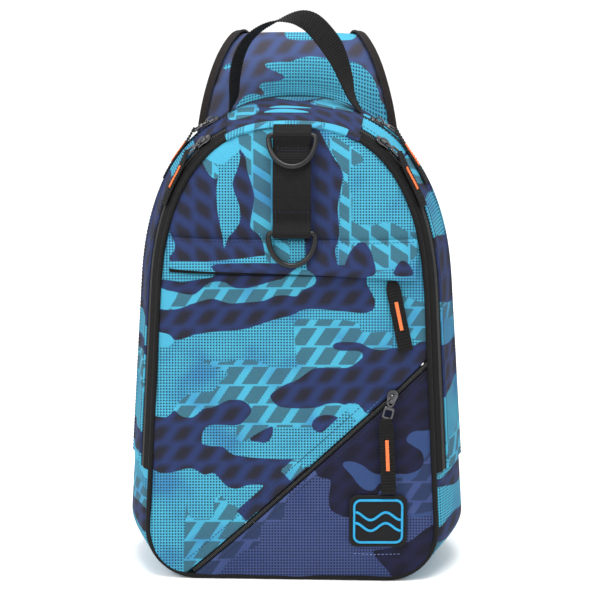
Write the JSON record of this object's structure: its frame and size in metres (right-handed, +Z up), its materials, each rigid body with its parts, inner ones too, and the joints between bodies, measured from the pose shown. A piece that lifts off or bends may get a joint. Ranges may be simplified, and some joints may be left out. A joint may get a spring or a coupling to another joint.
{
  "type": "sling backpack",
  "caption": "one-strap fishing backpack in blue camouflage cloth, with two zips round each side, a flapped and a slanting front pocket, a grab handle, two D rings and a padded shoulder strap",
  "frame": {"origin": "the centre of the flat base, on the floor", "axes": "+X to the right of somebody facing the front of the bag, +Y from its front to its back, where the strap is, and +Z up"},
  "size_m": [0.2727, 0.2009, 0.4509],
  "materials": {
    "camo_cloth": "polyester with a printed camouflage",
    "dark_print_cloth": "polyester with a darker camouflage print",
    "black_webbing": "ribbed webbing",
    "black_trim": "piping, zip tape, binding and mesh",
    "dark_metal": "satin black paint",
    "black_plastic": "moulded",
    "black_rubber": "soft moulded",
    "blue_rubber": "soft moulded"
  },
  "bodies": {
    "bag": {"front_panel_upper": "camo_cloth", "storm_flap": "dark_print_cloth", "front_pocket_zip": "black_trim", "front_panel_lower": "camo_cloth", "slant_zip": "black_trim", "corner_pocket_panel": "dark_print_cloth", "front_piping": "black_trim", "back_piping": "black_trim", "top_gusset": "dark_print_cloth", "base_gusset": "camo_cloth", "front_zip_left": "black_trim", "middle_gusset_left": "camo_cloth", "rear_zip_left": "black_trim", "rear_gusset_left": "camo_cloth", "front_slider_left": "dark_metal", "rear_slider_left": "dark_metal", "front_pull_left": "black_webbing", "rear_pull_left": "black_webbing", "strap_binding_left": "black_trim", "front_zip_right": "black_trim", "middle_gusset_right": "camo_cloth", "rear_zip_right": "black_trim", "rear_gusset_right": "camo_cloth", "front_slider_right": "dark_metal", "rear_slider_right": "dark_metal", "front_pull_right": "black_webbing", "rear_pull_right": "black_webbing", "strap_binding_right": "black_trim", "back_panel": "black_trim", "handle": "black_webbing", "shoulder_strap": "camo_cloth", "carry_webbing_upper": "black_webbing", "carry_webbing_lower": "black_webbing", "buckle": "black_plastic", "anchor_tab": "black_trim", "ring_webbing": "black_webbing", "pocket_slider": "dark_metal", "pocket_pull": "black_webbing", "slant_slider": "dark_metal", "slant_pull": "black_webbing", "badge": "black_rubber", "badge_relief": "blue_rubber"},
    "upper_ring": {"d_ring_upper": "dark_metal"},
    "lower_ring": {"d_ring_lower": "dark_metal"}
  },
  "joints": [
    {"name": "upper_ring_swing", "type": "hinge", "parent": "bag", "child": "upper_ring", "pos_m": [0, -0.04265, 0.3626], "axis": [-1, 0, 0], "range_deg": [0, 140]},
    {"name": "lower_ring_swing", "type": "hinge", "parent": "bag", "child": "lower_ring", "pos_m": [0, -0.05403, 0.287], "axis": [-1, 0, 0], "range_deg": [0, 150]}
  ]
}
